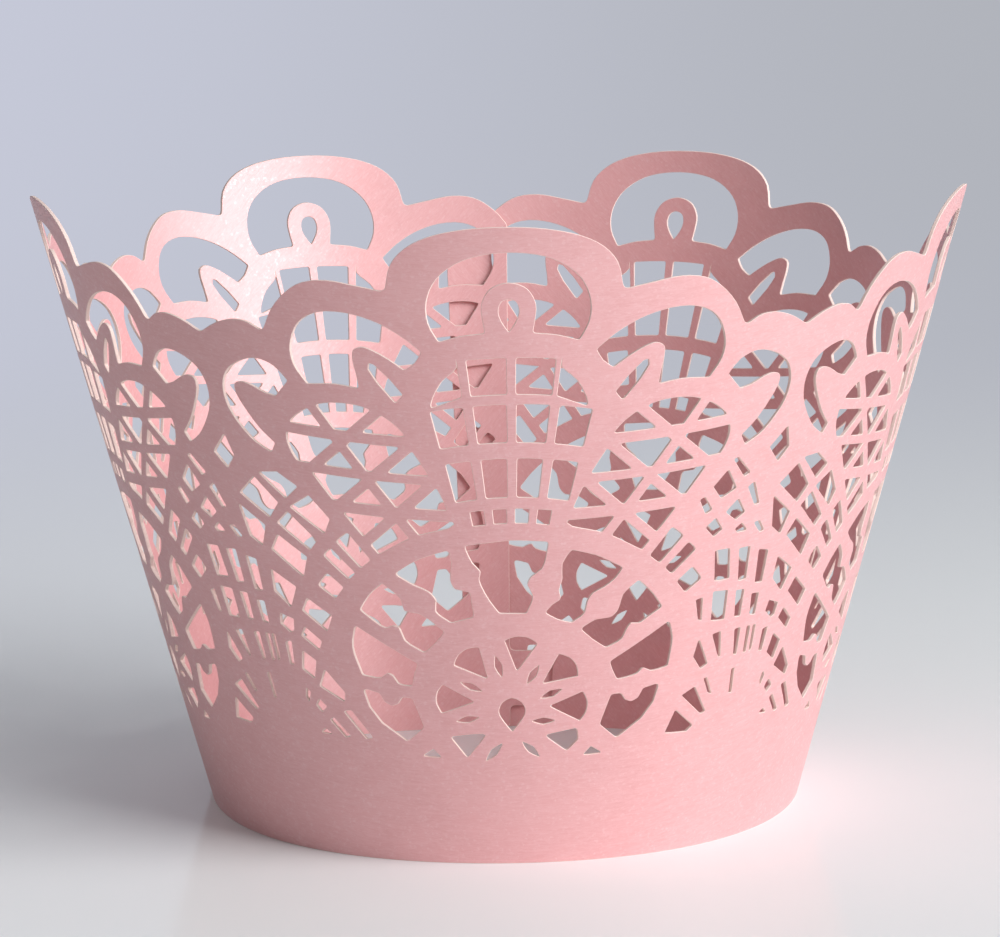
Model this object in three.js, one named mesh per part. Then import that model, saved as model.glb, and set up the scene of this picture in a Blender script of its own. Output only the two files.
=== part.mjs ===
// Lace cupcake wrapper: one strip of pearl card, cut through with a wheel-and-arch lace,
// rolled into a flaring ring and closed at the back with a tongue pushed through a slot.
// Millimetres and degrees. +Z is up, the bottom edge stands on z = 0, the front faces -Y.
import * as THREE from "three";

// Sizes
const bottomDiameter = 50;
const wallLean = 15.55; // degrees the wall leans outward from upright
const wallLength = 53.25; // measured up the wall, from the table to the top of an arch
const cardThickness = 0.3;
const archCount = 5;
const seamOverlap = 3.8; // how much the two ends lap, measured along the bottom edge
const layerGap = 0.2; // air between the two lapped ends
const backFlatness = 0.014; // a hand-closed ring isn't quite round:
const sideBulge = 0.023; // its back is a little flat, and it bulges either side of that
const tongueLength = 5.2;
const tongueFoot = 2; // the tongue's lower edge, up from the table
const tongueTop = 7;
const slotWidth = 2.2;
const slotClearance = 0.4; // at each end of the slot, past the tongue
const lapRun = 9; // the ends ease apart over this much of the ring before they lap
const endMargin = 0.9; // card left between the last openings and the ends

// The lace is drawn flat on one arch's share of the sheet, in mm, with x from the arch's
// centre line and y up from the bottom edge. A share ends on a slanting line through the
// point `halfway`, which meets the arch's centre line below the sheet, at drawnRadius.
const halfway = [24.67, 42.1];
const drawnPitch = 20.66; // degrees from one arch's centre line to the next
const drawnRadius = halfway[0] / Math.tan((drawnPitch * Math.PI) / 360) - halfway[1];
const shortEnd = 7.45 / drawnPitch; // how far the inner end runs past its last arch's centre
const longEnd = 8.9 / drawnPitch; // and the outer end

// Small helpers for flat outlines
const mirror = (outline) => outline.map(([x, y]) => [-x, y]).reverse();
const both = (outlines) => [...outlines, ...outlines.map(mirror)];
const moved = (outline, dx, dy) => outline.map(([x, y]) => [x + dx, y + dy]);

function smooth(points, steps) {
  const curve = new THREE.SplineCurve(points.map(([x, y]) => new THREE.Vector2(x, y)));
  return curve.getPoints(steps).map((p) => [p.x, p.y]);
}

// a point given as a distance from a centre and a bearing from straight up
function polar([cx, cy], radius, bearing) {
  const a = (bearing * Math.PI) / 180;
  return [cx + radius * Math.sin(a), cy + radius * Math.cos(a)];
}

// the part of an outline to the left of the line a-b, the line first moved `off` to the left
function leftOf(outline, a, b, off) {
  const length = Math.hypot(b[0] - a[0], b[1] - a[1]);
  const nx = -(b[1] - a[1]) / length;
  const ny = (b[0] - a[0]) / length;
  const side = (p) => (p[0] - a[0]) * nx + (p[1] - a[1]) * ny - off;
  const kept = [];
  outline.forEach((p, i) => {
    const q = outline[(i + 1) % outline.length];
    const sp = side(p);
    const sq = side(q);
    if (sp >= 0) kept.push(p);
    if (sp * sq < 0) {
      const t = sp / (sp - sq);
      kept.push([p[0] + t * (q[0] - p[0]), p[1] + t * (q[1] - p[1])]);
    }
  });
  return kept;
}

// lay a straight bar of card across some openings, which parts each of them in two
function layBar(openings, [a, b, width]) {
  const parts = openings.flatMap((o) => [
    leftOf(o, a, b, width / 2),
    leftOf(o, b, a, width / 2),
  ]);
  return parts.filter((o) => o.length > 2 && area(o) > 0.15);
}

function area(outline) {
  let sum = 0;
  outline.forEach(([x, y], i) => {
    const [u, v] = outline[(i + 1) % outline.length];
    sum += x * v - u * y;
  });
  return Math.abs(sum) / 2;
}

// an opening with four corners in a ring about a centre
function ringCell(centre, inner, outer, from, to) {
  const corners = [[inner, from], [outer, from], [outer, to], [inner, to]];
  return corners.map(([radius, bearing]) => polar(centre, radius, bearing));
}

// The lace of one arch
const laceShift = 0.3; // the openings sit this far to the right of the scalloped edge
const hub = [0, 14.1];

function archOpenings() {
  const inside = smooth(
    [[-5.25, 44.2], [-6.1, 46.9], [-4.3, 50.1], [0, 51.2], [4.3, 50.1], [6.1, 46.9], [5.25, 44.2]],
    10,
  );
  const loop = smooth([[1.75, 45], [1.9, 47.1], [0, 48.85], [-1.9, 47.1], [-1.75, 45]], 6);
  const eye = [];
  for (let i = 0; i < 6; i++) eye.push(polar([0, 46.3], 1, i * 60 + 30));
  return [[...inside, ...loop], eye.map(([x, y]) => [x * 0.68, 46.3 + (y - 46.3) * 1.25])];
}

function shoulderOpenings() {
  const outer = smooth(
    [[15.4, 39.85], [16.7, 42.4], [15.9, 44.9], [13.2, 45.9], [9.8, 45.45], [6.55, 43.4]],
    7,
  );
  const petal = smooth([[7.85, 41.75], [9.8, 42.95], [11.2, 43.3], [11.75, 42.4], [11.3, 39.95]], 4);
  const slit = [[10.5, 42], [10.1, 42.1], [8, 39.8], [8.5, 39.05]];
  return both([[...outer, ...petal], slit]);
}

function hookOpenings() {
  const outer = smooth([[17.1, 39.75], [20.4, 40.95], [23.15, 38.6], [21.6, 35.2], [18.8, 33.45]], 7);
  const inner = smooth([[18.45, 34.3], [21.3, 37.2], [21.75, 38.6], [20.4, 38.7], [18.2, 38.3]], 5);
  return both([[...outer, ...inner]]);
}

// the fan of windows under the arch: three bent rows parted by spokes that point at the hub,
// the end windows of the top row cut back under the arch, and a row of four small ones below
function fanOpenings() {
  const centre = [0.15, 13];
  const openings = [];
  for (const [inner, outer] of [[18.6, 21.8], [23.1, 26.2], [27, 29.9]]) {
    const bar = ((0.33 / inner) * 180) / Math.PI;
    for (let i = -2; i < 2; i++) {
      openings.push(ringCell(centre, inner, outer, i * 7.1 + bar, (i + 1) * 7.1 - bar));
    }
  }
  openings[8][1] = [-5.2, 40.6];
  openings[11][2] = [5.5, 40.6];
  for (let i = 0; i < 4; i++) {
    openings.push(ringCell(centre, 16.5, 17.6, 5.55 * i - 10.4, 5.55 * i - 7));
  }
  return openings;
}

// the net of triangles either side of the fan
function netOpenings() {
  const panel = [
    [7.45, 35.35], [4.25, 29.3], [4.7, 28.95], [7.3, 28.1], [10.1, 26.35],
    [15.5, 32.6], [16.5, 33.15], [17.35, 35.6], [17, 36.4],
    [15.5, 37.9], [12.5, 38.6], [10.1, 38.2], [7.7, 36.3],
  ];
  const level = (y, width) => [[0, y], [20, y], width];
  const rising = [[9.2, 30.45], [13.9, 36.35], 0.8];
  const falling = [
    [[10.2, 37.95], [15, 33.2], 0.85],
    [[7.8, 35.3], [12.8, 30.4], 0.85],
    [[6.15, 32.25], [10.9, 27.45], 0.85],
  ];
  const barsInRow = [
    [rising, falling[0]],
    [rising, falling[0], falling[1]],
    [rising, falling[1], falling[2]],
    [rising, falling[2]],
  ];
  let rows = [panel];
  for (const bar of [level(35.9, 0.9), level(32.85, 0.75), level(29.98, 0.95)]) {
    rows = layBar(rows, bar);
  }
  const top = (row) => Math.max(...row.map((p) => p[1]));
  rows.sort((a, b) => top(b) - top(a));
  return both(rows.flatMap((row, i) => barsInRow[i].reduce(layBar, [row])));
}

// the big wheel: nine windows between bossed spokes, and a hub pierced like a daisy
function wheelOpenings() {
  const spokeStep = 24.2;
  const innerRadius = 8.1;
  const ring = (bearing) => 13.85 - 1.9 * Math.max(0, Math.abs(bearing) / 25 - 2.4);
  const openings = [];
  for (let i = -3; i <= 3; i++) {
    const edge = (side) => {
      const bearing = (i + side / 2) * spokeStep;
      const at = (radius, half) => {
        return polar(hub, radius, bearing - (side * half * 180) / Math.PI / radius);
      };
      return [at(innerRadius, 0.6), at(10.4, 1.45), at(ring(bearing), 0.7)];
    };
    const top = polar(hub, ring(i * spokeStep), i * spokeStep);
    openings.push([...edge(-1), top, ...edge(1).reverse()]);
  }
  openings.push(...both([[
    [7.9, 14.3], [9.1, 13.55], [10.4, 14.4], [11.55, 14.55], [10.2, 11.9], [8.1, 10.4], [6.85, 11.8],
  ]]));
  for (let i = -3; i <= 3; i++) {
    const bearing = 45 * i + (i < 3 ? 7 : 0);
    const petal = [[2.8, 0], [5.2, -13], [5.8, 0], [5.2, 13]];
    openings.push(petal.map(([radius, turn]) => polar(hub, radius, bearing + turn)));
  }
  const drop = [[0, 11.75], [0.95, 13], [0.65, 14.4], [-0.65, 14.4], [-0.95, 13]];
  return [...openings, drop];
}

// three little windows down each flank of the wheel
function flankOpenings() {
  const cells = [[16.2, 19, 41.5, 45.5], [16.2, 18.9, 47.9, 50.9], [16.1, 17.8, 54, 58.7]];
  return both(cells.map((cell) => ringCell([0, 13.6], ...cell)));
}

// The lace between two arches, with x from the line halfway between them
const diamond = [[0.2, 36], [0.75, 34.2], [-0.2, 33.05], [-1.35, 34.35]];

const coarseCells = [
  [[2.8, 33], [4.6, 33.1], [6.2, 31.9], [4.9, 30.9]],
  [[0.5, 31.1], [2.3, 32.6], [4.1, 30.5], [3, 29.2]],
  [[5.1, 30.2], [7, 31.2], [8.4, 29.2], [7.7, 28]],
  [[0.1, 30.2], [2.4, 28.5], [1.7, 26.7], [0.6, 27.5]],
  [[3.6, 28.8], [4.8, 29.8], [6.9, 27.4], [6.1, 26.6]],
  [[2.5, 26.5], [3.4, 27.8], [5.7, 26], [5, 24.3]],
  [[1.9, 22.9], [2, 24.8], [4.1, 23.4], [3.2, 21.6]],
  [[4.2, 21.4], [4.9, 22.5], [6.8, 21], [6.1, 19.7]],
  [[3.6, 19.2], [4.1, 20], [5.4, 18.8], [5, 18]],
  [[3, 16.3], [3.4, 17.9], [4.5, 17.1], [4, 15.5]],
  [[4.3, 14.9], [5.1, 16.4], [6.5, 14.4], [6.3, 13.6]],
  [[6, 12.8], [6.7, 12.9], [8.1, 10.5], [7.5, 10.4]],
];

const fineCells = [
  [[-4.7, 33.6], [-4.3, 33.8], [-2.8, 32.4], [-3.4, 32.1]],
  [[-6.1, 31.4], [-5, 32.8], [-3.9, 31.2], [-5.2, 30.4]],
  [[-2.8, 31.2], [-2.2, 31.6], [-1.3, 29.7], [-1.8, 29.6]],
  [[-4.5, 29.2], [-3.5, 30.3], [-2.6, 29.1], [-3.4, 28.5]],
  [[-4.8, 26], [-3.4, 26.1], [-2.9, 23.5], [-4.3, 23.4]],
  [[-2.45, 26], [-1.35, 26.1], [-1.15, 23.3], [-1.95, 23.2]],
  [[-0.35, 25.7], [0.7, 25.5], [0.7, 22.8], [-0.1, 22.8]],
  [[-4.2, 22.5], [-2.8, 22.5], [-2.6, 20], [-3.9, 20]],
  [[-1.95, 22.4], [-1.1, 22.4], [-1, 20.1], [-1.6, 20.1]],
  [[-0.2, 21.9], [0.6, 21.9], [0.6, 20], [0, 20.1]],
  [[-4.9, 17], [-4.7, 18.6], [-3.4, 16.3], [-4, 15.9]],
  [[-5.3, 13.7], [-4.2, 14.4], [-2.7, 12.1], [-3.1, 11.9]],
  [[-6.2, 10.5], [-5.6, 12.5], [-3.7, 11], [-4.2, 10.5]],
];

// The scalloped top edge of one arch's share, from just inside its left end to its right end
function topEdge() {
  const arch = smooth(
    [[-8.85, 47.9], [-8.4, 50.1], [-5.6, 52.4], [0, 53.25], [5.6, 52.4], [8.4, 50.1], [8.85, 47.9]],
    10,
  );
  const shoulder = smooth([[8.85, 47.9], [11, 48.1], [13.4, 48.4], [16.6, 47.1], [18.8, 43.4]], 5);
  const bump = smooth([[18.8, 43.4], [21.2, 43.9], halfway], 3);
  const right = [...shoulder.slice(1), ...bump.slice(1)];
  return [...mirror(right.slice(0, -1)), ...arch, ...right];
}

const drawnHeight = Math.max(...topEdge().map((p) => p[1]));

// The ring the strip is rolled into
const lean = (wallLean * Math.PI) / 180;
const apexDrop = bottomDiameter / 2 / Math.tan(lean); // the wall's lines meet this far below
const rimRadius = bottomDiameter / 2 / Math.sin(lean);

// the wall's line at a turn about the middle: its direction and the way it swings
function wallLine(turn) {
  const out = 1 + sideBulge * Math.cos(3 * turn) - backFlatness * Math.cos(4 * turn);
  const change = -3 * sideBulge * Math.sin(3 * turn) + 4 * backFlatness * Math.sin(4 * turn);
  const reach = Math.tan(lean) * out;
  const reachChange = Math.tan(lean) * change;
  const along = new THREE.Vector3(reach * Math.sin(turn), -reach * Math.cos(turn), 1);
  const swing = new THREE.Vector3(
    reachChange * Math.sin(turn) + reach * Math.cos(turn),
    -reachChange * Math.cos(turn) + reach * Math.sin(turn),
    0,
  );
  const size = along.length();
  along.normalize();
  swing.addScaledVector(along, -swing.dot(along)).divideScalar(size);
  return { along, swing };
}

// flat angle used up by each turn, added up in small steps either way from the front
const turnSteps = 1440;
const turnSpan = 1.2 * Math.PI;
const flatAngles = [];
let flatSum = 0;
for (let i = 0; i <= turnSteps; i++) {
  flatAngles.push(flatSum);
  const middle = ((i + 0.5) / turnSteps) * 2 * turnSpan - turnSpan;
  flatSum += wallLine(middle).swing.length() * ((2 * turnSpan) / turnSteps);
}
const flatFront = flatAngles[turnSteps / 2];

function flatAt(turn) {
  const place = ((turn + turnSpan) / (2 * turnSpan)) * turnSteps;
  const i = Math.floor(place);
  return flatAngles[i] + (flatAngles[i + 1] - flatAngles[i]) * (place - i) - flatFront;
}

function turnAt(flat) {
  const wanted = flat + flatFront;
  let low = 0;
  let high = turnSteps;
  while (high - low > 1) {
    const middle = (low + high) >> 1;
    if (flatAngles[middle] <= wanted) low = middle;
    else high = middle;
  }
  const part = (wanted - flatAngles[low]) / (flatAngles[high] - flatAngles[low]);
  return ((low + part) / turnSteps) * 2 * turnSpan - turnSpan;
}

const fullRound = flatAt(Math.PI) - flatAt(-Math.PI);
const overlapAngle = seamOverlap / rimRadius;
const pitch = (fullRound + overlapAngle) / (archCount - 1 + shortEnd + longEnd);
const firstArch = (-(archCount - 1) / 2) * pitch;
const innerEnd = firstArch - shortEnd * pitch;
const outerEnd = -firstArch + longEnd * pitch;

// from the drawn lace to a flat angle and a height up the wall
function onSheet([x, y], arch) {
  const radius = Math.hypot(x, y + drawnRadius);
  const share = (Math.atan2(x, y + drawnRadius) * 180) / Math.PI / drawnPitch;
  return [(arch + share) * pitch, (radius - drawnRadius) * (wallLength / drawnHeight)];
}

// The flat sheet: one outline and its openings
const halfLap = (cardThickness + layerGap) / 2;
const tongueTip = innerEnd - tongueLength / rimRadius;
const slotStart = tongueTip + fullRound + (tongueLength - slotWidth) / 2 / rimRadius;
const slotEnd = slotStart + slotWidth / rimRadius;

function sheetOutline() {
  const outline = [];
  const rimSteps = Math.round((outerEnd - innerEnd) / (1.9 * (Math.PI / 180)));
  for (let i = 0; i <= rimSteps; i++) {
    outline.push([innerEnd + ((outerEnd - innerEnd) * i) / rimSteps, 0]);
  }
  const edge = topEdge();
  const top = [];
  for (let i = -1; i <= archCount; i++) {
    for (const point of edge) top.push(onSheet(point, i - (archCount - 1) / 2));
  }
  const inside = top.filter(([flat]) => flat > innerEnd + 0.004 && flat < outerEnd - 0.004);
  const heightAt = (flat) => {
    const i = top.findIndex(([f]) => f > flat);
    const [f0, h0] = top[i - 1];
    const [f1, h1] = top[i];
    return h0 + ((h1 - h0) * (flat - f0)) / (f1 - f0);
  };
  const outerTop = heightAt(outerEnd);
  const innerTop = heightAt(innerEnd);
  for (let i = 1; i <= 5; i++) outline.push([outerEnd, (outerTop * i) / 5]);
  outline.push(...inside.reverse());
  for (let i = 5; i > 0; i--) {
    outline.push([innerEnd, tongueTop + ((innerTop - tongueTop) * i) / 5]);
  }
  // the tongue, a little narrower at its tip
  const steps = 8;
  const side = (height, taper) => {
    const points = [];
    for (let i = 0; i <= steps; i++) {
      const part = i / steps;
      const narrowed = height + taper * Math.max(0, part * 4 - 3);
      points.push([innerEnd + (tongueTip - innerEnd) * part, narrowed]);
    }
    return points;
  };
  outline.push(...side(tongueTop, -1.2), ...side(tongueFoot, 1.2).reverse());
  return outline;
}

function sheetOpenings() {
  const openings = [];
  const shared = [
    ...archOpenings(), ...fanOpenings(), ...netOpenings(), ...wheelOpenings(),
    ...flankOpenings(), ...shoulderOpenings(), ...hookOpenings(),
  ];
  const between = [diamond, ...coarseCells, ...fineCells];
  for (let i = 0; i <= archCount; i++) {
    const arch = i - (archCount - 1) / 2;
    if (i < archCount) {
      for (const o of shared) openings.push(moved(o, laceShift, 0).map((p) => onSheet(p, arch)));
    }
    for (const o of between) openings.push(o.map((p) => onSheet(p, arch - 0.5)));
  }
  const margin = endMargin / (rimRadius + wallLength * 0.6);
  const clear = ([flat]) => flat > innerEnd + margin && flat < outerEnd - margin;
  const kept = openings.filter((o) => o.every(clear));
  const low = tongueFoot - slotClearance;
  const high = tongueTop + slotClearance;
  kept.push([[slotStart, low], [slotEnd, low], [slotEnd, high], [slotStart, high]]);
  return kept;
}

// Triangles over the flat sheet, made even by swapping diagonals
function flatTriangles(outline, openings) {
  const flatPoint = ([flat, height]) => {
    const radius = rimRadius + height;
    return new THREE.Vector2(radius * Math.sin(flat), radius * Math.cos(flat));
  };
  const contour = outline.map(flatPoint);
  const holes = openings.map((o) => o.map(flatPoint));
  const signed = (o) => THREE.ShapeUtils.area(o);
  const loops = [];
  if (signed(contour) < 0) {
    contour.reverse();
    outline.reverse();
  }
  holes.forEach((h, i) => {
    if (signed(h) > 0) {
      h.reverse();
      openings[i].reverse();
    }
  });
  const triangles = THREE.ShapeUtils.triangulateShape(contour, holes);
  const points = [contour, ...holes].flat();
  const places = [outline, ...openings].flat();
  const fixed = new Set();
  let start = 0;
  for (const loop of [contour, ...holes]) {
    const ids = loop.map((_, i) => start + i);
    loops.push(ids);
    ids.forEach((id, i) => {
      const next = ids[(i + 1) % ids.length];
      fixed.add(Math.min(id, next) * points.length + Math.max(id, next));
    });
    start += loop.length;
  }
  evenOut(triangles, points, fixed);
  return { triangles, places, loops };
}

function evenOut(triangles, points, fixed) {
  const count = points.length;
  const key = (a, b) => Math.min(a, b) * count + Math.max(a, b);
  const owners = new Map();
  const note = (t) => {
    for (let k = 0; k < 3; k++) {
      const edge = key(triangles[t][k], triangles[t][(k + 1) % 3]);
      if (!owners.has(edge)) owners.set(edge, new Set());
      owners.get(edge).add(t);
    }
  };
  const forget = (t) => {
    for (let k = 0; k < 3; k++) {
      owners.get(key(triangles[t][k], triangles[t][(k + 1) % 3])).delete(t);
    }
  };
  triangles.forEach((_, t) => note(t));
  const cross = (a, b, c) => (b.x - a.x) * (c.y - a.y) - (b.y - a.y) * (c.x - a.x);
  const corner = (p, a, b) => {
    const u = a.clone().sub(p);
    const v = b.clone().sub(p);
    return Math.atan2(Math.abs(u.cross(v)), u.dot(v));
  };
  const waiting = [...owners.keys()];
  while (waiting.length) {
    const edge = waiting.pop();
    const pair = [...(owners.get(edge) ?? [])];
    if (fixed.has(edge) || pair.length !== 2) continue;
    const a = Math.floor(edge / count);
    const b = edge % count;
    const [c, d] = pair.map((t) => triangles[t].find((v) => v !== a && v !== b));
    const [pa, pb, pc, pd] = [a, b, c, d].map((v) => points[v]);
    if (corner(pc, pa, pb) + corner(pd, pa, pb) <= Math.PI + 1e-9) continue;
    if (cross(pc, pd, pa) * cross(pc, pd, pb) >= 0) continue;
    pair.forEach(forget);
    const turned = cross(pc, pd, pa) > 0 ? [[c, d, a], [d, c, b]] : [[d, c, a], [c, d, b]];
    pair.forEach((t, k) => {
      triangles[t] = turned[k];
      note(t);
    });
    for (const [p, q] of [[a, c], [c, b], [b, d], [d, a]]) waiting.push(key(p, q));
  }
}

// Rolling the sheet up
const ease = (v) => {
  const t = Math.min(1, Math.max(0, v));
  return t * t * (3 - 2 * t);
};

// how far the middle of the card stands off the ring: inward at one end, outward at the other
function standOff(flat) {
  const run = lapRun / rimRadius;
  if (flat < innerEnd - 1e-9) {
    const under = flat + fullRound;
    const crossing = ease((slotEnd - under) / (slotEnd - slotStart));
    return -halfLap + crossing * (standOff(under) + 3 * halfLap);
  }
  const inner = ease((innerEnd + overlapAngle + run - flat) / run);
  const outer = ease((flat - outerEnd + overlapAngle + run) / run);
  return halfLap * (outer - inner);
}

function rolled([flat, height], depth) {
  const { along, swing } = wallLine(turnAt(flat));
  const outward = swing.clone().normalize().cross(along);
  const off = standOff(flat) + depth;
  const reach = (apexDrop - off * outward.z) / along.z + height;
  const place = along.clone().multiplyScalar(reach).addScaledVector(outward, off);
  return place.sub(new THREE.Vector3(0, 0, apexDrop));
}

function sheetGeometry() {
  const { triangles, places, loops } = flatTriangles(sheetOutline(), sheetOpenings());
  const depths = [cardThickness / 2, -cardThickness / 2];
  const points = depths.flatMap((depth) => places.map((p) => rolled(p, depth)));
  const positions = points.flatMap((p) => [p.x, p.y, p.z]);
  const far = places.length;
  const index = [];
  for (const [a, b, c] of triangles) index.push(a, b, c, far + c, far + b, far + a);
  for (const loop of loops) {
    loop.forEach((a, i) => {
      const b = loop[(i + 1) % loop.length];
      index.push(a, far + a, b, b, far + a, far + b);
    });
  }
  const geometry = new THREE.BufferGeometry();
  geometry.setAttribute("position", new THREE.Float32BufferAttribute(positions, 3));
  geometry.setIndex(index);
  geometry.computeBoundingBox();
  const middle = geometry.boundingBox.getCenter(new THREE.Vector3());
  geometry.translate(-middle.x, -middle.y, 0); // the origin is under the middle of the sheet's box
  geometry.computeVertexNormals();
  return geometry;
}

const card = new THREE.MeshStandardMaterial({ color: 0xe6b0b4, roughness: 0.5, metalness: 0 });
const sheet = new THREE.Mesh(sheetGeometry(), card);
sheet.name = "lace_sheet";

const wrapper = new THREE.Group();
wrapper.name = "cupcake_wrapper";
wrapper.add(sheet);

export default wrapper;
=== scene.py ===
# %% [markdown]
# # A lace cupcake wrapper
# The real thing is one strip of pearl card. A cutter pierces it with a wheel-and-arch
# lace, and the baker rolls it into a flaring ring and pushes a tongue through a slot at
# the back. The scene follows the same order: draw the lace flat, cut the sheet, give it
# its thickness, roll it up, and only then choose its finish and its light.
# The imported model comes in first, because every piece is placed in its frame.

# %% Load the frame
import math

import bmesh
import bpy
import numpy as np
from mathutils import Matrix, Vector


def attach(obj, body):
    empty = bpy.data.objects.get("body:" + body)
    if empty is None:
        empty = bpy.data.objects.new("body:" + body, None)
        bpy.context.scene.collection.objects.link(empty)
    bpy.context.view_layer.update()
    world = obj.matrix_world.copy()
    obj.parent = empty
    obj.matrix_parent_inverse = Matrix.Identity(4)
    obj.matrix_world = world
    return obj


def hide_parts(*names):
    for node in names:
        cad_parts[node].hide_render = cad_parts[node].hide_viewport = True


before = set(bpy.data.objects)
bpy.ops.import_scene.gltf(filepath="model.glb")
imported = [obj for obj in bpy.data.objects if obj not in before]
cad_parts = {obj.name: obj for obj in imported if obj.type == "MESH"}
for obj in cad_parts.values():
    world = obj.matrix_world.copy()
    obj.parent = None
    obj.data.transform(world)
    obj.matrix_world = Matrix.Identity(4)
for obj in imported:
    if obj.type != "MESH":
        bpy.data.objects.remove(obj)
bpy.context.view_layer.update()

# %% [markdown]
# ## The camera
# A camera close to a small object is what makes the near band wide and the far arches
# small, so its distance matters more than its lens. It stands 32 cm in front and a
# little above, and looks slightly down. The matrix is built from its three axes,
# which is easier to trust than a chain of turns.

# %% Camera
IMAGE = (1000, 937)
FOCAL_PIXELS = 3890
camera_place = Vector((-0.00295, -0.32065, 0.0768))
yaw, pitch, roll = (math.radians(a) for a in (0.499, 8.717, -0.706))

ahead = Vector((math.sin(yaw) * math.cos(pitch), math.cos(yaw) * math.cos(pitch),
                -math.sin(pitch)))
level = Vector((math.cos(yaw), -math.sin(yaw), 0))
above = level.cross(ahead)
right = level * math.cos(roll) + above * math.sin(roll)
up = above * math.cos(roll) - level * math.sin(roll)

lens = bpy.data.cameras.new("camera")
lens.sensor_fit = "HORIZONTAL"
lens.sensor_width = 36
lens.lens = FOCAL_PIXELS * 36 / IMAGE[0]
lens.clip_start = 0.01
camera = bpy.data.objects.new("camera", lens)
axes = Matrix((right, up, -ahead)).transposed()
camera.matrix_world = Matrix.Translation(camera_place) @ axes.to_4x4()
bpy.context.scene.collection.objects.link(camera)
bpy.context.scene.camera = camera
bpy.context.scene.view_settings.view_transform = "Standard"
print("lens in mm:", round(lens.lens, 2))

# %% [markdown]
# ## Drawing on the flat sheet
# The lace is drawn in millimetres on one arch's share of the sheet: x runs from the
# arch's centre line and y up from the bottom edge. An outline is a list of points. Long
# curves pass smoothly through a few points, and a cutter leaves every corner a little
# round, so one helper flows through points and another softens corners.

# %% Helpers for flat outlines
def mirror(outline):
    return [(-x, y) for x, y in reversed(outline)]


def both(outlines):
    return outlines + [mirror(outline) for outline in outlines]


def polar(centre, radius, bearing):
    """A point at a distance from a centre, on a bearing in degrees from straight up."""
    turn = math.radians(bearing)
    return (centre[0] + radius * math.sin(turn), centre[1] + radius * math.cos(turn))


def flow(points, closed=False, turn_step=9.0, longest=0.8):
    """Points close together along a smooth curve through the given ones."""
    p = [np.array(q, float) for q in points]
    ends = (p[-1], p[0], p[1]) if closed else (2 * p[0] - p[1], None, 2 * p[-1] - p[-2])
    p = [ends[0]] + p + ([ends[1], ends[2]] if closed else [ends[2]])
    line = []
    for a, b, c, d in zip(p, p[1:], p[2:], p[3:]):
        gaps = [max(1e-6, np.linalg.norm(v - u)) ** 0.5 for u, v in ((a, b), (b, c), (c, d))]
        leave = (b - a) / gaps[0] - (c - a) / (gaps[0] + gaps[1]) + (c - b) / gaps[1]
        arrive = (c - b) / gaps[1] - (d - b) / (gaps[1] + gaps[2]) + (d - c) / gaps[2]
        leave, arrive = leave * gaps[1], arrive * gaps[1]
        cosine = leave @ arrive / (np.linalg.norm(leave) * np.linalg.norm(arrive) + 1e-12)
        bend = math.degrees(math.acos(max(-1, min(1, cosine))))
        steps = math.ceil(max(bend / turn_step, np.linalg.norm(c - b) / longest, 1))
        for t in np.arange(steps) / steps:
            h = (2 * t**3 - 3 * t**2 + 1, t**3 - 2 * t**2 + t, 3 * t**2 - 2 * t**3, t**3 - t**2)
            line.append(tuple(h[0] * b + h[1] * leave + h[2] * c + h[3] * arrive))
    return line if closed else line + [tuple(p[-2])]


def area(outline):
    x, y = np.array(outline).T
    return abs(np.dot(x, np.roll(y, -1)) - np.dot(y, np.roll(x, -1))) / 2


# %% Rounded corners
def soften(outline, radius=0.2, sharp=24, longest=0.8):
    """A closed outline with each sharp corner rounded, and points along its long sides."""
    p = np.array([q for i, q in enumerate(outline) if math.dist(q, outline[i - 1]) > 1e-4])
    sides = np.roll(p, -1, 0) - p
    lengths = np.linalg.norm(sides, axis=1)
    ways = sides / lengths[:, None]
    turns = [math.degrees(math.acos(max(-1, min(1, ways[i - 1] @ ways[i]))))
             for i in range(len(p))]
    along = np.concatenate([[0], np.cumsum(lengths)])
    total = along[-1]
    corners = [i for i, turn in enumerate(turns) if turn > sharp]

    def at(s):
        s %= total
        i = min(len(p) - 1, int(np.searchsorted(along, s, side="right")) - 1)
        return p[i] + ways[i] * (s - along[i])

    if not corners:
        return [tuple(q) for q in p]
    room = [(along[corners[(k + 1) % len(corners)]] - along[c]) % total or total
            for k, c in enumerate(corners)]
    cut = [min(radius * math.tan(math.radians(min(turns[c], 150)) / 2), 0.42 * room[k],
               0.42 * room[k - 1]) for k, c in enumerate(corners)]
    line = []
    for k, c in enumerate(corners):
        here = along[c]
        a, b = at(here - cut[k]), at(here + cut[k])
        steps = max(2, round(turns[c] / 22))
        for t in np.arange(steps + 1) / steps:
            line.append((1 - t) ** 2 * a + 2 * t * (1 - t) * p[c] + t**2 * b)
        start, stop = here + cut[k], here + room[k] - cut[(k + 1) % len(corners)]
        marks = [start] + [s for s in np.concatenate([along[:-1], along[:-1] + total])
                           if start + 0.03 < s < stop - 0.03] + [stop]
        for s0, s1 in zip(marks, marks[1:]):
            more = math.ceil((s1 - s0) / longest)
            line += [at(s0 + (s1 - s0) * j / more) for j in range(1, more)]
            if s1 != stop:
                line.append(at(s1))
    return [tuple(q) for q in line]


def opening(*runs, radius=0.2):
    """An opening from runs of points: each run is a smooth curve, and runs meet at corners."""
    line = []
    for run in runs:
        line += flow(run) if len(run) > 2 else list(run)
    return soften(line, radius)


# %% [markdown]
# ## Under the arch
# Each of the five scallops is a tall arch with a keyhole loop hanging into its opening.
# A leaf grows into the opening on each shoulder, and a hook curls into the one beside
# it. All are card left standing, so each is drawn as the far side of its opening.

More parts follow.
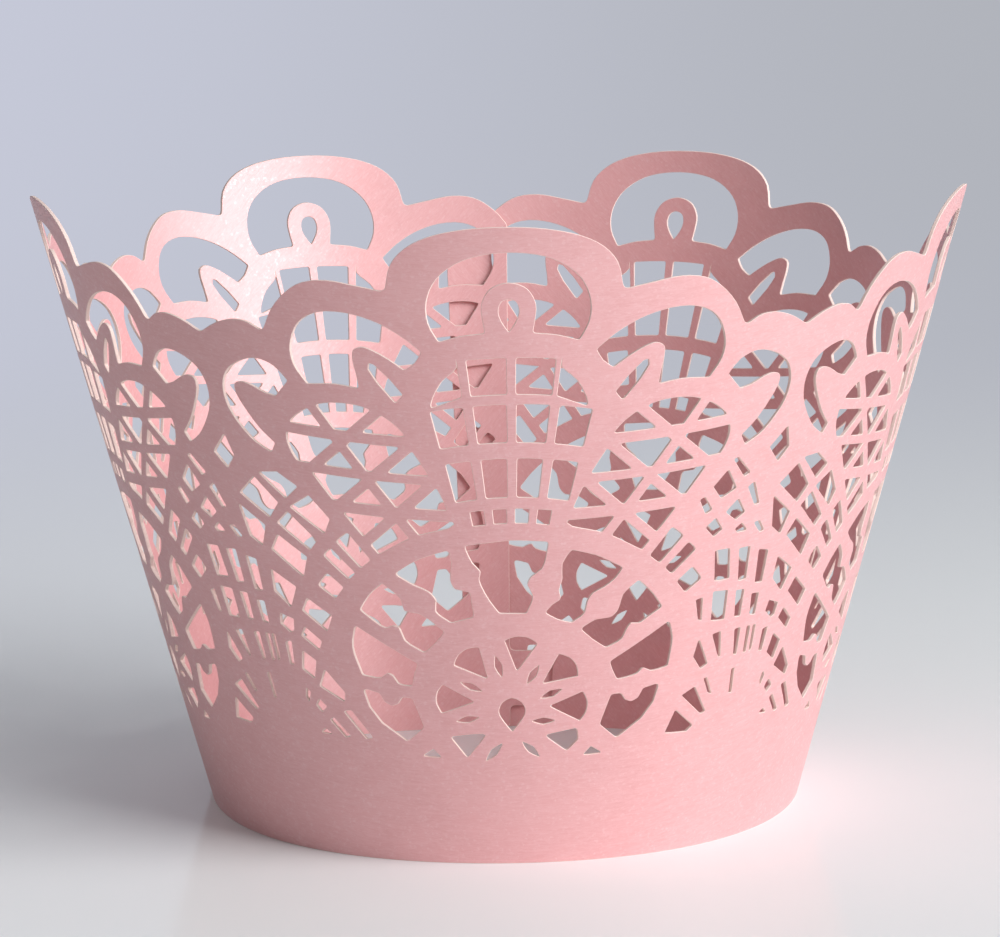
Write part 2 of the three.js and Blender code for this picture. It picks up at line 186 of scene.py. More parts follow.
# %% The arch, its shoulders and its hooks
def arch_openings():
    rim = [(-5.2, 44.15), (-5.95, 45.6), (-6.05, 47.3), (-5.3, 49.1), (-3.3, 50.65), (0, 51.25),
           (3.3, 50.65), (5.3, 49.1), (6.05, 47.3), (5.95, 45.6), (5.2, 44.15)]
    sill = [(5.2, 44.15), (3.6, 44.65), (1.75, 44.9)]
    loop = [(1.75, 44.9), (1.95, 46.0), (2.0, 47.2), (1.35, 48.4), (0, 48.9),
            (-1.35, 48.4), (-2.0, 47.2), (-1.95, 46.0), (-1.75, 44.9)]
    eye = [(0, 45.0), (0.5, 45.75), (0.76, 46.6), (0.55, 47.35), (0, 47.6),
           (-0.55, 47.35), (-0.76, 46.6), (-0.5, 45.75), (0, 45.0)]
    return [opening(rim, sill, loop, mirror(sill), radius=0.25), opening(eye, radius=0.08)]


def shoulder_openings():
    rim = [(15.45, 39.8), (16.5, 41.2), (16.75, 42.7), (16.0, 44.7), (14.4, 45.75),
           (12.2, 45.95), (9.8, 45.4), (7.9, 44.4), (6.5, 43.3)]
    cheek = [(6.5, 43.3), (7.0, 42.4), (7.8, 41.75)]
    leaf = [(7.8, 41.75), (9.0, 42.55), (10.2, 43.15), (11.1, 43.35), (11.7, 43.0),
            (11.75, 42.2), (11.5, 41.1), (11.3, 39.95)]
    sill = [(11.3, 39.95), (13.2, 40.1), (15.45, 39.8)]
    vein = [(10.5, 42.1), (10.55, 41.6), (9.9, 40.6), (8.5, 39.0), (7.95, 39.75), (9.0, 41.0),
            (10.1, 42.0)]
    return both([opening(rim, cheek, leaf, sill), soften(vein, 0.2)])


def hook_openings():
    outer = [(17.1, 39.75), (18.2, 40.75), (19.7, 41.1), (21.4, 40.5), (22.7, 39.3),
             (23.05, 37.8), (22.6, 36.3), (21.5, 35.0), (20.2, 34.0), (18.8, 33.45)]
    tail = [(18.8, 33.45), (18.45, 34.3)]
    inner = [(18.45, 34.3), (19.8, 35.3), (21.0, 36.6), (21.8, 37.7), (21.9, 38.5),
             (21.3, 38.85), (20.3, 38.75), (19.2, 38.4), (18.2, 38.3)]
    head = [(18.2, 38.3), (17.1, 39.75)]
    return both([opening(outer, tail, inner, head)])


upper_lace = arch_openings() + shoulder_openings() + hook_openings()
print(len(upper_lace), "openings in the upper lace")

# %% [markdown]
# ## Rings of windows
# Fans and wheels are openings between spokes that all point at one centre. Drawing
# them from two radii and two bearings keeps the bars between them even, which the eye
# checks before anything else in lace.

# %% The fan
def ring_window(centre, inner, outer, left, right, radius=0.2):
    """Four corners about a centre; the two long sides follow the ring."""
    middle = (left + right) / 2
    low = [polar(centre, inner, b) for b in (right, middle, left)]
    high = [polar(centre, outer, b) for b in (left, middle, right)]
    return opening(high, low, radius=radius)


def fan_openings():
    centre = (0.15, 13)
    windows = []
    for inner, outer in ((18.6, 21.8), (23.1, 26.2), (27.0, 29.95)):
        bar = math.degrees(0.33 / inner)
        for i in range(-2, 2):
            if outer > 29 and i in (-2, 1):
                continue
            windows.append(ring_window(centre, inner, outer, i * 7.1 + bar, (i + 1) * 7.1 - bar))
    for i in range(4):
        windows.append(ring_window(centre, 16.45, 17.65, 5.55 * i - 10.4, 5.55 * i - 7, 0.1))
    inner_side = polar(centre, 27, -7.5), polar(centre, 29.9, -7.5)
    end = opening([(-5.75, 38.75), (-5.55, 39.6), (-4.9, 40.9), (-3.75, 42.1), inner_side[1]],
                  [inner_side[1], inner_side[0]], [inner_side[0], (-5.75, 38.75)])
    return windows + both([[(x - 0.15, y) for x, y in end]])


# %% [markdown]
# The big wheel's spokes carry small bosses and no two windows match, because the
# original was drawn by hand. Each window is four smooth sides that meet at corners.
# A daisy with a drop at its heart fills the hub.

# %% The wheel, with its bossed spokes
hub = (0.0, 14.1)


def joined(*sides):
    """An opening whose smooth sides each start where the one before ends."""
    return opening(*[[sides[i - 1][-1]] + side for i, side in enumerate(sides)], radius=0.25)


def wheel_openings():
    crown = joined(
        [(0, 28.0), (2.85, 27.8)],
        [(2.7, 26.8), (2.35, 25.6), (1.5, 24.9), (1.25, 24.2), (1.65, 23.3), (1.15, 21.85)],
        [(-0.9, 21.9)],
        [(-1.6, 22.9), (-2.25, 24.2), (-2.4, 24.8), (-2.3, 25.4), (-2.9, 26.1), (-3.5, 27.55)])
    right = [
        joined([(6.5, 26.35), (8.6, 25.05)],
               [(8.0, 24.25), (7.1, 23.6), (6.25, 23.2), (5.8, 22.5), (5.6, 21.6), (4.6, 20.85)],
               [(3.55, 21.2), (2.55, 21.85)],
               [(3.15, 22.5), (3.75, 22.95), (3.65, 23.7), (3.9, 24.6), (3.9, 25.9), (4.6, 27.0)]),
        joined([(10.9, 22.65), (11.85, 21.15)],
               [(10.65, 20.5), (9.9, 20.1), (9.3, 20.2), (8.85, 19.65), (8.55, 19.0), (7.3, 18.4)],
               [(6.3, 19.2), (5.3, 20.25)],
               [(6.45, 20.9), (7.6, 20.95), (8.15, 21.4), (8.4, 22.0), (8.65, 22.8), (9.9, 23.8)]),
        joined([(12.75, 18.3), (12.4, 15.9)],
               [(11.0, 15.75), (10.3, 16.15), (9.8, 15.75), (8.2, 15.5)],
               [(7.85, 16.3), (7.6, 17.15)],
               [(12.45, 19.8)])]
    left = [
        joined([(7.0, 26.2), (8.9, 24.8)],
               [(7.4, 24.0), (6.3, 23.55), (5.7, 22.8), (5.75, 21.9), (4.6, 21.0)],
               [(2.85, 21.55)],
               [(3.0, 22.7), (3.2, 23.65), (4.2, 23.85), (4.6, 24.6), (4.5, 26.2), (4.75, 27.1)]),
        joined([(11.0, 22.7), (11.75, 21.35)],
               [(9.7, 20.1), (9.15, 20.35), (8.6, 20.2), (8.2, 19.2), (6.7, 18.3)],
               [(5.9, 19.1), (5.1, 20.2)],
               [(7.0, 21.6), (8.2, 21.75), (8.45, 22.7), (9.9, 23.9)]),
        joined([(12.45, 18), (11.7, 15.7)],
               [(10.2, 15.7), (9.7, 16.15), (9.2, 16.0), (8.8, 15.4), (7.7, 15.3)],
               [(7.5, 16.3), (7.2, 17.3)],
               [(12.2, 19.95)])]
    low = [(7.7, 14.25), (8.5, 14.25), (8.85, 13.6), (9.35, 13.35), (9.9, 13.6), (10.35, 14.35),
           (11.7, 14.55), (11.2, 13.0), (10.2, 11.75), (8.15, 10.4), (6.8, 11.8)]
    return [crown] + right + [mirror(window) for window in left] + both([soften(low, 0.3)])


# %% The daisy in the hub
SLIT_HALF_WIDTH = 0.29


def daisy_openings():
    """Petals, thin slits between them, and the drop; the two low petals are cut short."""
    petals = [soften([(-4.77, 11.15), (-3.3, 11.4), (-1.95, 11.5), (-3.45, 9.35)], 0.2),
              soften([(2.44, 11.3), (5.0, 11.7), (5.1, 10.7), (4.2, 9.77)], 0.25)]
    for bearing in (-86.5, -40, 8, 54.5, 96):
        tip = polar(hub, 2.85, bearing)
        edge = [polar(hub, r, bearing + b)
                for r, b in ((5.5, -13.5), (5.8, -5), (5.8, 5), (5.5, 13))]
        petals.append(opening([tip, edge[0]], edge, [edge[-1], tip], radius=0.14))
    slits = [((-1.25, 18.3), (-0.75, 16.4)), ((2.1, 17.4), (1.15, 15.8)),
             ((3.85, 15.2), (2.15, 14.5)), ((1.5, 12.55), (3.3, 12.5)),
             ((0.75, 10.8), (2.1, 9.4)), ((-0.75, 10.7), (-2.05, 9.1)),
             ((-4.3, 12.5), (-2.5, 12.95)), ((-3.95, 15.95), (-2.25, 15.2))]
    lenses = []
    for (x0, y0), (x1, y1) in slits:
        across = (y0 - y1, x1 - x0)
        part = SLIT_HALF_WIDTH / math.hypot(*across)
        middle = ((x0 + x1) / 2, (y0 + y1) / 2)
        sides = [(middle[0] + way * across[0] * part, middle[1] + way * across[1] * part)
                 for way in (1, -1)]
        lenses.append(opening([(x0, y0), sides[0], (x1, y1)],
                              [(x1, y1), sides[1], (x0, y0)], radius=0.05))
    drop = [(0, 11.7), (0.62, 12.55), (1.0, 13.35), (0.75, 14.2), (0, 14.6),
            (-0.75, 14.2), (-1.0, 13.35), (-0.62, 12.55), (0, 11.7)]
    return petals + lenses + [opening(drop, radius=0.1)]


middle_lace = fan_openings() + wheel_openings() + daisy_openings()
print(len(middle_lace), "openings in the fan and the wheel")

# %% [markdown]
# ## The net beside the fan
# The net is one panel crossed by straight bars. Cutting the panel with each bar in
# turn, as the designer did, gives triangles that always fit together, while drawing
# every triangle by hand would leave bars of uneven width.

# %% The net and the flanks
def left_of(outline, a, b, off):
    """The part of an outline to the left of the line a-b, the line first moved aside."""
    length = math.dist(a, b)
    nx, ny = -(b[1] - a[1]) / length, (b[0] - a[0]) / length
    side = lambda p: (p[0] - a[0]) * nx + (p[1] - a[1]) * ny - off
    kept = []
    for p, q in zip(outline, outline[1:] + outline[:1]):
        sp, sq = side(p), side(q)
        if sp >= 0:
            kept.append(p)
        if sp * sq < 0:
            t = sp / (sp - sq)
            kept.append((p[0] + t * (q[0] - p[0]), p[1] + t * (q[1] - p[1])))
    return kept


def lay_bar(openings, bar):
    a, b, width = bar
    parts = [left_of(o, p, q, width / 2) for o in openings for p, q in ((a, b), (b, a))]
    return [part for part in parts if len(part) > 2 and area(part) > 0.12]


def net_openings():
    runs = [[(7.45, 35.35), (5.6, 32.4), (4.25, 29.3)], [(4.25, 29.3), (4.7, 28.95)],
            [(4.7, 28.95), (7.3, 28.1), (10.1, 26.35)], [(10.1, 26.35), (12.8, 29.4), (15.5, 32.6)],
            [(15.5, 32.6), (16.5, 33.15), (17.3, 34.5), (17.35, 35.6), (17, 36.5), (15.5, 37.8),
             (14.1, 38.4), (12.5, 38.6), (11.2, 38.5), (10.1, 38.15), (8.8, 37.4), (7.7, 36.2),
             (7.45, 35.35)]]
    panel = [p for run in runs for p in (flow(run) if len(run) > 2 else run)[:-1]]
    level = lambda y, width: ((0, y), (20, y), width)
    rising = ((9.2, 30.45), (13.9, 36.35), 0.8)
    falling = [((10.2, 37.95), (15, 33.2), 0.85), ((7.8, 35.3), (12.8, 30.4), 0.85),
               ((6.15, 32.25), (10.9, 27.45), 0.85)]
    bars_in_row = [[rising, falling[0]], [rising, falling[0], falling[1]],
                   [rising, falling[1], falling[2]], [rising, falling[2]]]
    rows = [panel]
    for bar in (level(35.9, 0.9), level(32.85, 0.75), level(29.98, 0.95)):
        rows = lay_bar(rows, bar)
    rows.sort(key=lambda row: -max(y for _, y in row))
    cells = []
    for row, bars in zip(rows, bars_in_row):
        pieces = [row]
        for bar in bars:
            pieces = lay_bar(pieces, bar)
        cells += pieces
    return both([soften(cell, 0.16) for cell in cells])


def flank_openings():
    cells = [(16.2, 19, 41.5, 45.5), (16.2, 18.9, 47.9, 50.9), (16.1, 17.8, 54, 58.7)]
    shoes = [(5.45, 9.25), (6.1, 9.95), (7.0, 9.25)]
    windows = [ring_window((0, 13.6), *cell, radius=0.25) for cell in cells]
    return both(windows + [soften(shoes, 0.12)])


side_lace = net_openings() + flank_openings()
print(len(side_lace), "openings in the nets and flanks")

# %% [markdown]
# ## Between two arches
# Where two arches meet, a diamond sits over two bent fans that don't match: the left
# one is fine and the right one coarse. These openings are drawn one by one, from the
# line halfway between the arches, because they follow no simple rule.

# %% The two small fans
between = [
    [(0.2, 36.0), (0.75, 34.2), (-0.2, 33.05), (-1.35, 34.35)],
    [(2.8, 33.0), (4.6, 33.1), (6.2, 31.9), (4.9, 30.9)],
    [(0.5, 31.1), (2.3, 32.6), (4.1, 30.5), (3.0, 29.2)],
    [(5.1, 30.2), (7.0, 31.2), (8.4, 29.2), (7.7, 28.0)],
    [(0.1, 30.2), (2.4, 28.5), (1.7, 26.7), (0.6, 27.5)],
    [(3.6, 28.8), (4.8, 29.8), (6.9, 27.4), (6.1, 26.6)],
    [(2.5, 26.5), (3.4, 27.8), (5.7, 26.0), (5.0, 24.3)],
    [(1.9, 22.9), (2.0, 24.8), (4.1, 23.4), (3.2, 21.6)],
    [(4.2, 21.4), (4.9, 22.5), (6.8, 21.0), (6.1, 19.7)],
    [(1.8, 20.1), (2.0, 21.0), (3.2, 20.6), (3.0, 19.6), (2.6, 19.4)],
    [(3.6, 19.2), (4.1, 20.0), (5.4, 18.8), (5.0, 18.0)],
    [(3.0, 16.3), (3.4, 17.9), (4.5, 17.1), (4.0, 15.5)],
    [(4.3, 14.9), (5.1, 16.4), (6.5, 14.4), (6.3, 13.6)],
    [(1.9, 18.5), (2.5, 18.7), (2.3, 16.6), (1.9, 16.6)],
    [(3.0, 14.7), (3.3, 14.3), (3.0, 13.4), (2.8, 13.9)],
    [(3.6, 13.2), (4.0, 13.8), (4.6, 13.1), (4.0, 12.6)],
    [(4.6, 12.0), (5.0, 12.2), (6.2, 10.6), (5.7, 10.5)],
    [(6.0, 12.8), (6.7, 12.9), (8.1, 10.5), (7.5, 10.4)],
    [(3.5, 10.8), (4.0, 11.2), (4.6, 10.7)],
    [(0.65, 19.1), (0.95, 19.1), (1.0, 17.0), (0.75, 16.8)],
    [(-4.7, 33.6), (-4.3, 33.8), (-2.8, 32.4), (-3.4, 32.1)],
    [(-6.1, 31.4), (-5.0, 32.8), (-3.9, 31.2), (-5.2, 30.4)],
    [(-2.8, 31.2), (-2.2, 31.6), (-1.3, 29.7), (-1.8, 29.6)],
    [(-7.1, 30.35), (-6.65, 30.6), (-5.8, 29.5), (-6.35, 29.15)],
    [(-4.5, 29.2), (-3.5, 30.3), (-2.6, 29.1), (-3.4, 28.5)],
    [(-6.1, 28.0), (-5.3, 28.8), (-4.5, 27.8), (-5.2, 27.2)],
    [(-3.3, 27.7), (-2.7, 28.2), (-2.0, 27.5), (-3.0, 27.4)],
    [(-1.5, 28.1), (-0.9, 28.2), (-0.2, 27.3), (-0.7, 27.2)],
    [(-4.8, 26.0), (-3.4, 26.1), (-2.9, 23.5), (-4.3, 23.4)],
    [(-2.45, 26.0), (-1.35, 26.1), (-1.15, 23.3), (-1.95, 23.2)],
    [(-0.35, 25.7), (0.7, 25.5), (0.7, 22.8), (-0.1, 22.8)],
    [(-5.7, 21.9), (-5.1, 22.1), (-4.8, 20.1), (-5.15, 20.2)],
    [(-4.2, 22.5), (-2.8, 22.5), (-2.6, 20.0), (-3.9, 20.0)],
    [(-1.95, 22.4), (-1.1, 22.4), (-1.0, 20.1), (-1.6, 20.1)],
    [(-0.2, 21.9), (0.6, 21.9), (0.6, 20.0), (0.0, 20.1)],
    [(-4.9, 17.0), (-4.7, 18.6), (-3.4, 16.3), (-4.0, 15.9)],
    [(-3.5, 18.8), (-2.7, 19.0), (-2.2, 16.5), (-2.6, 17.0)],
    [(-1.3, 19.0), (-0.7, 19.1), (-0.6, 16.8), (-0.9, 16.7)],
    [(0.0, 19.1), (0.35, 19.1), (0.4, 16.8), (0.1, 16.8)],
    [(-5.3, 13.7), (-4.2, 14.4), (-2.7, 12.1), (-3.1, 11.9)],
    [(-3.5, 15.0), (-3.2, 15.1), (-2.4, 13.6), (-2.8, 13.7)],
    [(-0.8, 15.5), (-0.5, 15.6), (-0.3, 13.4), (-0.6, 13.4)],
    [(-6.2, 10.5), (-5.6, 12.5), (-3.7, 11.0), (-4.2, 10.5)],
]
between_lace = [soften(cell, 0.16, sharp=15) for cell in between]
print(len(between_lace), "openings between two arches")

# %% [markdown]
# ## The sheet's outline
# The strip isn't straight. A cone unrolls into an arc, so the bottom edge is an arc about
# the point where the wall's lines would meet, and each arch takes the same share of it.
# The left end carries a tongue, and near the right end there is a slot to push it through.

# %% Sizes of the sheet, in millimetres
RIM_RADIUS = 93.25
WALL_LEAN = math.radians(15.55)
CARD = 0.3
LAYER_GAP = 0.2
ARCHES = 5
BOTTOM_RADIUS = RIM_RADIUS * math.sin(WALL_LEAN)
APEX_DROP = BOTTOM_RADIUS / math.tan(WALL_LEAN)
SEAM_OVERLAP = 3.8
SIDE_BULGE, BACK_FLATNESS = 0.023, 0.014


def wall_direction(turn):
    """The wall's line at a turn about the middle, seen from where the lines meet."""
    reach = math.tan(WALL_LEAN) * (1 + SIDE_BULGE * math.cos(3 * turn)
                                   - BACK_FLATNESS * math.cos(4 * turn))
    return Vector((reach * math.sin(turn), -reach * math.cos(turn), 1)).normalized()


GUIDE_STEPS = 2160
turns = [1.2 * math.pi * (2 * i / GUIDE_STEPS - 1) for i in range(GUIDE_STEPS + 1)]
wall_guide = [wall_direction(turn) for turn in turns]
guide_steps = [(b - a).length for a, b in zip(wall_guide, wall_guide[1:])]
used = np.concatenate([[0], np.cumsum(guide_steps)])
flat_at = lambda turn: float(np.interp(turn, turns, used) - used[GUIDE_STEPS // 2])
full_round = flat_at(math.pi) - flat_at(-math.pi)
overlap = SEAM_OVERLAP / RIM_RADIUS
LEFT_PART, RIGHT_PART = 7.45 / 20.66, 8.9 / 20.66
pitch_angle = (full_round + overlap) / (ARCHES - 1 + LEFT_PART + RIGHT_PART)
inner_end = -((ARCHES - 1) / 2 + LEFT_PART) * pitch_angle
outer_end = ((ARCHES - 1) / 2 + RIGHT_PART) * pitch_angle
print("the sheet opens", round(math.degrees(outer_end - inner_end), 2), "degrees flat")

# %% [markdown]
# The top edge is the same run of scallops for every arch, and the two ends stop partway
# along theirs. The slot is a little taller than the tongue and centred on it.

# %% The outline, the tongue and the slot
TONGUE_LENGTH, TONGUE_FOOT, TONGUE_TOP = 5.2, 2.0, 7.0
SLOT_WIDTH = 2.2
tongue_tip = inner_end - TONGUE_LENGTH / RIM_RADIUS
slot_start = tongue_tip + full_round + (TONGUE_LENGTH - SLOT_WIDTH) / 2 / RIM_RADIUS
slot_end = slot_start + SLOT_WIDTH / RIM_RADIUS
arch_shift = {i: (i - (ARCHES - 1) / 2) * pitch_angle for i in range(-1, ARCHES + 1)}


def fan_point(flat, height):
    """A point on the flat sheet, from its bearing about the meeting point and its height."""
    radius = RIM_RADIUS + height
    return (radius * math.sin(flat), radius * math.cos(flat))


def scallops():
    arch = flow([(-8.85, 47.9), (-8.4, 50.1), (-7.3, 51.45), (-5.6, 52.4), (-3, 53.05), (0, 53.25),
                 (3, 53.05), (5.6, 52.4), (7.3, 51.45), (8.4, 50.1), (8.85, 47.9)])
    shoulder = flow([(8.85, 47.9), (11, 48.2), (13.4, 48.4), (15.3, 48.0), (16.6, 47.1),
                     (17.9, 45.5), (18.8, 43.4)])
    bump = flow([(18.8, 43.4), (20.0, 43.95), (21.4, 43.95), (23.1, 43.25), (24.67, 42.1)])
    right_side = shoulder[1:] + bump[1:]
    return mirror(right_side[:-1]) + arch + right_side


top_edge = []
for shift in arch_shift.values():
    for x, y in scallops():
        top_edge.append((math.atan2(x, y + RIM_RADIUS) + shift,
                         math.hypot(x, y + RIM_RADIUS) - RIM_RADIUS))
heights = lambda flat: float(np.interp(flat, *np.array(top_edge).T))
kept = [p for p in top_edge if inner_end + 0.003 < p[0] < outer_end - 0.003]

outline = [fan_point(inner_end + (outer_end - inner_end) * i / 240, 0) for i in range(241)]
outline += [fan_point(outer_end, heights(outer_end))]
outline += [fan_point(*p) for p in reversed(kept)]
outline += [fan_point(inner_end, heights(inner_end)), fan_point(inner_end, TONGUE_TOP)]
nose = [(0.75, 0), (0.92, 0.3), (1, 1.1)]
outline += [fan_point(inner_end + (tongue_tip - inner_end) * part, TONGUE_TOP - taper)
            for part, taper in nose]
outline += [fan_point(inner_end + (tongue_tip - inner_end) * part, TONGUE_FOOT + taper)
            for part, taper in reversed(nose)]
outline += [fan_point(inner_end, TONGUE_FOOT)]
outline = soften(outline, 0.5, sharp=30)
slot = soften([fan_point(slot_start, TONGUE_FOOT - 0.4), fan_point(slot_end, TONGUE_FOOT - 0.4),
               fan_point(slot_end, TONGUE_TOP + 0.4), fan_point(slot_start, TONGUE_TOP + 0.4)], 0.3)
print(len(outline), "points round the sheet")

# %% [markdown]
# ## Outlines become curves
# Geometry Nodes can fill curves, so each drawing becomes a curve object. The lace under
# one arch is a single object that the next step repeats, and the real cutter's file has
# it once as well. The lace sits 0.3 mm to the right of the scalloped edge.

# %% Curve objects for the drawings
LACE_SHIFT = 0.3


def drawing(name, outlines, closed=True):
    curve = bpy.data.curves.new(name, "CURVE")
    curve.dimensions = "3D"
    for points in outlines:
        spline = curve.splines.new("POLY")
        spline.points.add(len(points) - 1)
        for point, place in zip(spline.points, points):
            point.co = (*place, 1) if len(place) == 3 else (*place, 0, 1)
        spline.use_cyclic_u = closed
    made = bpy.data.objects.new(name, curve)
    bpy.context.scene.collection.objects.link(made)
    return made


on_fan = lambda outlines, dx=0.0: [[(x + dx, y + RIM_RADIUS) for x, y in o] for o in outlines]
arch_drawing = drawing("arch_lace", on_fan(upper_lace + middle_lace + side_lace, LACE_SHIFT))
between_drawing = drawing("between_lace", on_fan(between_lace))
edge_drawing = drawing("sheet_edge", [outline, slot])
guide_drawing = drawing("wall_guide", [[tuple(u) for u in wall_guide]], closed=False)
print("points in one arch's lace:", sum(len(s.points) for s in arch_drawing.data.splines))

# %% [markdown]
# ## Writing node trees as sums
# Geometry Nodes and materials both need arithmetic, and a chain of Math nodes is hard to
# read back. A small class wraps a socket so that ordinary signs add the nodes, and one
# method makes any other node from its settings and its inputs.

# %% A wrapped socket, and a tree that makes nodes
class Wire:
    """A node's output, which can be used in sums."""

    def __init__(self, tree, socket):
        self.tree, self.socket = tree, socket

    def __add__(self, other): return self.tree.math("ADD", self, other)
    def __radd__(self, other): return self.tree.math("ADD", other, self)
    def __sub__(self, other): return self.tree.math("SUBTRACT", self, other)
    def __rsub__(self, other): return self.tree.math("SUBTRACT", other, self)
    def __mul__(self, other): return self.tree.math("MULTIPLY", self, other)
    def __rmul__(self, other): return self.tree.math("MULTIPLY", other, self)
    def __truediv__(self, other): return self.tree.math("DIVIDE", self, other)
    def __rtruediv__(self, other): return self.tree.math("DIVIDE", other, self)
    def __lt__(self, other): return self.tree.math("LESS_THAN", self, other)
    def __gt__(self, other): return self.tree.math("GREATER_THAN", self, other)


class Tree:
    """A node tree that is written rather than drawn."""

    def __init__(self, group):
        self.group = group

    def node(self, kind, settings=None, inputs=None):
        made = self.group.nodes.new(kind)
        for name, value in (settings or {}).items():
            setattr(made, name, value)
        for name, value in (inputs or {}).items():
            socket = made.inputs[name]
            for part in value if isinstance(value, list) else [value]:
                if isinstance(part, Wire):
                    self.group.links.new(part.socket, socket)
                else:
                    socket.default_value = part
        return made

    def out(self, kind, output, settings=None, inputs=None):
        return Wire(self, self.node(kind, settings, inputs).outputs[output])

    def math(self, operation, *values):
        return self.out("ShaderNodeMath", 0, {"operation": operation}, dict(enumerate(values)))

    def vector(self, operation, *values, output=0, scale=None):
        inputs = dict(enumerate(values))
        if scale is not None:
            inputs["Scale"] = scale
        return self.out("ShaderNodeVectorMath", output, {"operation": operation}, inputs)

    def parts(self, vector):
        made = self.node("ShaderNodeSeparateXYZ", inputs={0: vector})
        return [Wire(self, made.outputs[i]) for i in range(3)]

    def smooth_step(self, value, start, end, low, high):
        return self.out("ShaderNodeMapRange", 0, {"interpolation_type": "SMOOTHSTEP"}, {
            "Value": value, "From Min": start, "From Max": end, "To Min": low, "To Max": high})


class Recipe(Tree):
    """A Geometry Nodes tree with named inputs, which a modifier runs."""

    def __init__(self, name):
        super().__init__(bpy.data.node_groups.new(name, "GeometryNodeTree"))
        for way in ("INPUT", "OUTPUT"):
            self.group.interface.new_socket("Geometry", in_out=way,
                                            socket_type="NodeSocketGeometry")
        self.entry = self.group.nodes.new("NodeGroupInput")
        self.values = {}

    def input(self, name, kind, value):
        socket = self.group.interface.new_socket(name, in_out="INPUT",
                                                 socket_type="NodeSocket" + kind)
        self.values[socket.identifier] = value
        return Wire(self, self.entry.outputs[name])

    def finish(self, geometry):
        self.node("NodeGroupOutput", inputs={"Geometry": geometry})

    def run_on(self, piece, name):
        step = piece.modifiers.new(name, "NODES")
        step.node_group = self.group
        for identifier, value in self.values.items():
            step[identifier] = value


# %% [markdown]
# ## Cutting the sheet
# One arch's lace is placed once for each arch, turned about the fan's centre, and the
# openings that would run over an end are left out, as the cutter's file does at the seam.
# Fill Curve then makes the card between all the curves. Points inside the outline give it
# even triangles, which a sheet needs before it can bend smoothly.

# %% The cutting recipe
def cutting_recipe(card_finish):
    r = Recipe("cut_the_lace")
    arches = r.input("Arches", "Int", ARCHES)
    pitch_wire = r.input("Pitch", "Float", pitch_angle)
    lace = r.input("Arch Lace", "Object", arch_drawing)
    between_wire = r.input("Lace Between", "Object", between_drawing)
    edge = r.input("Sheet Edge", "Object", edge_drawing)
    margin = 0.9 / (RIM_RADIUS + 32)
    first = r.input("Left End", "Float", inner_end + margin)
    last = r.input("Right End", "Float", outer_end - margin)
    spacing = r.input("Point Spacing", "Float", 1.25)
    card_wire = r.input("Card", "Material", card_finish)

    def shape(thing):
        return r.out("GeometryNodeObjectInfo", "Geometry",
                     {"transform_space": "ORIGINAL"}, {"Object": thing})

    def round_the_fan(thing, count, start):
        index = r.out("GeometryNodeInputIndex", "Index")
        turn = (index - start) * pitch_wire * -1
        spots = r.out("GeometryNodePoints", 0, None, {"Count": count})
        rotation = r.out("ShaderNodeCombineXYZ", 0, None, {"Z": turn})
        copies = r.out("GeometryNodeInstanceOnPoints", "Instances", None,
                       {"Points": spots, "Instance": shape(thing), "Rotation": rotation})
        return r.out("GeometryNodeRealizeInstances", "Geometry", None, {"Geometry": copies})

    middle = (arches - 1) / 2
    holes = r.out("GeometryNodeJoinGeometry", 0, None, {"Geometry": [
        round_the_fan(lace, arches, middle),
        round_the_fan(between_wire, arches + 1, middle + 0.5)]})
    # An opening goes if any of its points lies past an end of the sheet.
    x, y, _ = r.parts(r.out("GeometryNodeInputPosition", "Position"))
    bearing = r.math("ARCTAN2", x, y)
    over = (bearing < first) + (bearing > last)
    owner = r.out("GeometryNodeCurveOfPoint", "Curve Index")
    hits = r.out("GeometryNodeAccumulateField", "Total", {"data_type": "FLOAT", "domain": "POINT"},
                 {"Value": over, "Group ID": owner})
    whole = r.out("GeometryNodeDeleteGeometry", "Geometry", {"domain": "CURVE"},
                  {"Geometry": holes, "Selection": hits > 0.5})
    curves = r.out("GeometryNodeJoinGeometry", 0, None, {"Geometry": [shape(edge), whole]})

    # Points for even triangles: a square grid, less what lies near a curve or off the sheet.
    span = 2 * (RIM_RADIUS + 54)
    count = r.math("CEIL", span / spacing)
    grid = r.out("GeometryNodeMeshGrid", "Mesh", None,
                 {"Size X": span, "Size Y": span, "Vertices X": count, "Vertices Y": count})
    dots = r.out("GeometryNodeMeshToPoints", "Points", None, {"Mesh": grid})
    lines = r.out("GeometryNodeCurveToMesh", "Mesh", None, {"Curve": curves})
    gap = r.out("GeometryNodeProximity", "Distance", {"target_element": "EDGES"}, {0: lines})
    x, y, _ = r.parts(r.out("GeometryNodeInputPosition", "Position"))
    away = r.math("SQRT", x * x + y * y)
    unused = (gap < spacing * 0.4) + (away < RIM_RADIUS) + (away > RIM_RADIUS + 53.5)
    dots = r.out("GeometryNodeDeleteGeometry", "Geometry", {"domain": "POINT"},
                 {"Geometry": dots, "Selection": unused > 0.5})
    singles = r.out("GeometryNodePointsToCurves", "Curves", None,
                    {"Points": dots, "Curve Group ID": r.out("GeometryNodeInputIndex", "Index")})
    everything = r.out("GeometryNodeJoinGeometry", 0, None, {"Geometry": [curves, singles]})
    card = r.out("GeometryNodeFillCurve", "Mesh", {"mode": "TRIANGLES"}, {"Curve": everything})
    faces = r.out("GeometryNodeInputMeshVertexNeighbors", "Face Count")
    card = r.out("GeometryNodeDeleteGeometry", "Geometry", {"domain": "POINT"},
                 {"Geometry": card, "Selection": faces < 0.5})
    card = r.out("GeometryNodeRealizeInstances", "Geometry", None, {"Geometry": card})
    r.finish(r.out("GeometryNodeSetMaterial", "Geometry", None,
                   {"Geometry": card, "Material": card_wire}))
    return r

